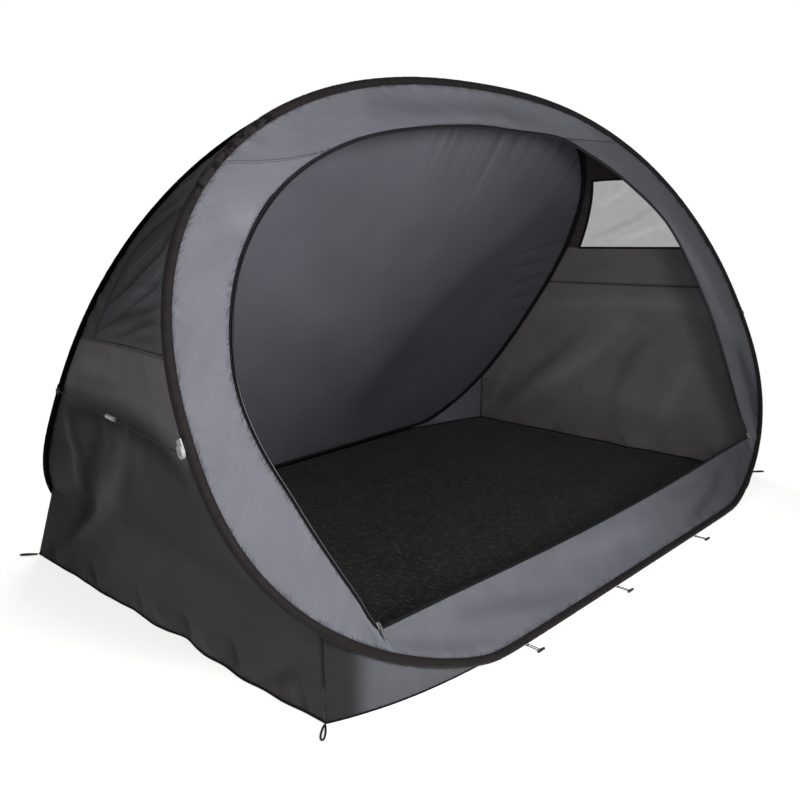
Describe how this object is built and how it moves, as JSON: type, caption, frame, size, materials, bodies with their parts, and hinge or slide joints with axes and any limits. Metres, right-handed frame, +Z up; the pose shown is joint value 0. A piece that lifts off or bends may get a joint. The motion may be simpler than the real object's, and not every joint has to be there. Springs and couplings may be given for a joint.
{
  "type": "pop-up shelter inner tent",
  "caption": "Low wide pop-up tent on two leaning spring hoops, with an open arched front, side mesh windows, a raised sill and a ground sheet.",
  "frame": {"origin": "on the ground under the middle of the ridge", "axes": "+X along the ridge and the long side, seen from the doorway to the right; -Y out of the doorway; +Z up"},
  "size_m": [2.5524, 1.5852, 1.3612],
  "materials": {
    "light_cloth": "light grey coated polyester, lit border and sill",
    "dark_cloth": "dark grey coated polyester",
    "panel_cloth": "dark grey coated polyester, slightly shiny",
    "front_sleeve": "grey brown woven sleeve over the front hoop",
    "rear_sleeve": "black woven sleeve over the rear hoop",
    "floor_sheet": "black woven polyethylene sheet",
    "mesh": "fine black insect net",
    "binding": "black woven binding",
    "zip_tape": "black coil zip on a blue grey tape",
    "nickel": "nickel plated die cast zinc",
    "elastic": "black braided elastic",
    "grey_plastic": "pale grey moulded plastic",
    "dark_plastic": "dark grey moulded plastic",
    "pale_plastic": "off-white moulded plastic"
  },
  "bodies": {
    "shell": {"floor": "floor_sheet", "front_hoop": "front_sleeve", "rear_hoop": "rear_sleeve", "front_border_left": "light_cloth", "front_border_top": "light_cloth", "front_border_right": "light_cloth", "front_sill": "light_cloth", "sill_binding": "binding", "door_zip_left": "zip_tape", "door_zip_top": "zip_tape", "door_zip_right": "zip_tape", "rear_panel": "panel_cloth", "side_wall_left": "dark_cloth", "side_gusset_left": "dark_cloth", "window_mesh_left": "mesh", "window_binding_left": "binding", "front_corner_left": "dark_cloth", "rear_corner_left": "dark_cloth", "zip_slider_left": "nickel", "side_cord_left": "elastic", "cord_ferrule_left": "pale_plastic", "cord_buckle_left": "grey_plastic", "buckle_strap_left": "elastic", "cord_tab_left": "elastic", "peg_loop_front_left": "elastic", "peg_loop_rear_left": "elastic", "side_wall_right": "dark_cloth", "side_gusset_right": "dark_cloth", "window_mesh_right": "mesh", "window_binding_right": "binding", "front_corner_right": "dark_cloth", "rear_corner_right": "dark_cloth", "zip_slider_right": "nickel", "side_cord_right": "elastic", "cord_ferrule_right": "pale_plastic", "cord_buckle_right": "grey_plastic", "buckle_strap_right": "elastic", "cord_tab_right": "elastic", "peg_loop_front_right": "elastic", "peg_loop_rear_right": "elastic", "sill_toggle_left": "dark_plastic", "sill_toggle_middle": "dark_plastic", "sill_toggle_right": "dark_plastic"},
    "pull_left": {"zip_pull_left": "nickel"},
    "pull_right": {"zip_pull_right": "nickel"}
  },
  "joints": [
    {"name": "pull_left_hinge", "type": "hinge", "parent": "shell", "child": "pull_left", "pos_m": [-0.95081, -0.51523, 0.18036], "axis": [-1, 0, 0], "range_deg": [0, 130]},
    {"name": "pull_right_hinge", "type": "hinge", "parent": "shell", "child": "pull_right", "pos_m": [0.95081, -0.51523, 0.18036], "axis": [-1, 0, 0], "range_deg": [0, 130]}
  ]
}
